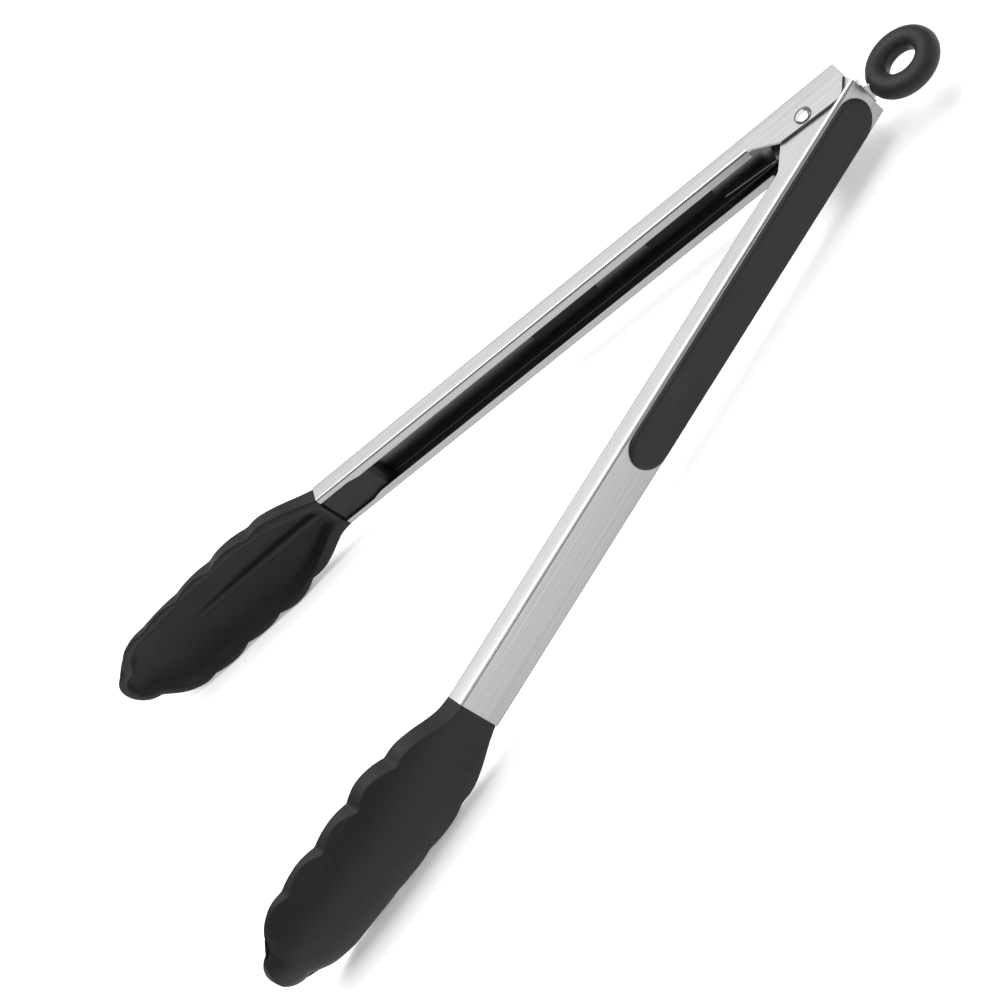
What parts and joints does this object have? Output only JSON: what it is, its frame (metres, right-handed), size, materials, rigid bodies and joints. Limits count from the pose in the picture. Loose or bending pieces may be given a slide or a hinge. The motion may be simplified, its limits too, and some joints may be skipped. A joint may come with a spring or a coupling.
{
  "type": "spring loaded kitchen tongs",
  "caption": "Spring loaded locking kitchen tongs: brushed steel channel arms, silicone grips and scalloped spoon heads, and a ring pull that locks them shut.",
  "frame": {"origin": "bottom centre of the bounding box, with the tongs lying on their side and open", "axes": "+X along the tongs from the ring towards the heads, +Y from the outer arm to the inner arm, +Z along the hinge rivet"},
  "size_m": [0.3312, 0.1512, 0.0372],
  "materials": {
    "brushed_steel": "satin, grain along the arm",
    "polished_steel": "polished",
    "spring_wire": "bright drawn wire",
    "silicone_grip": "matte silicone",
    "silicone_head": "matte silicone",
    "head_core": "fine matte",
    "silicone_ring": "satin silicone"
  },
  "bodies": {
    "outer_arm": {"outer_arm": "brushed_steel", "outer_grip": "silicone_grip", "outer_head_core": "head_core", "outer_head_skin": "silicone_head", "hinge_rivet": "polished_steel", "rail_spacer": "polished_steel", "torsion_spring": "spring_wire"},
    "inner_arm": {"inner_arm": "brushed_steel", "inner_grip": "silicone_grip", "inner_head_core": "head_core", "inner_head_skin": "silicone_head"},
    "lock": {"lock_slider": "brushed_steel", "lock_pin": "polished_steel", "hang_ring": "silicone_ring"}
  },
  "joints": [
    {"name": "arm_hinge", "type": "hinge", "parent": "outer_arm", "child": "inner_arm", "pos_m": [-0.12291, 0, 0.01861], "axis": [0, 0, -1], "range_deg": [0, 27.7], "stiffness_Nm_per_rad": 0.5, "springref_deg": -28.65, "deforming": ["torsion_spring"]},
    {"name": "lock_slide", "type": "slide", "parent": "outer_arm", "child": "lock", "axis": [-0.9674, 0.2531, 0], "range_m": [0, 0.01]}
  ]
}
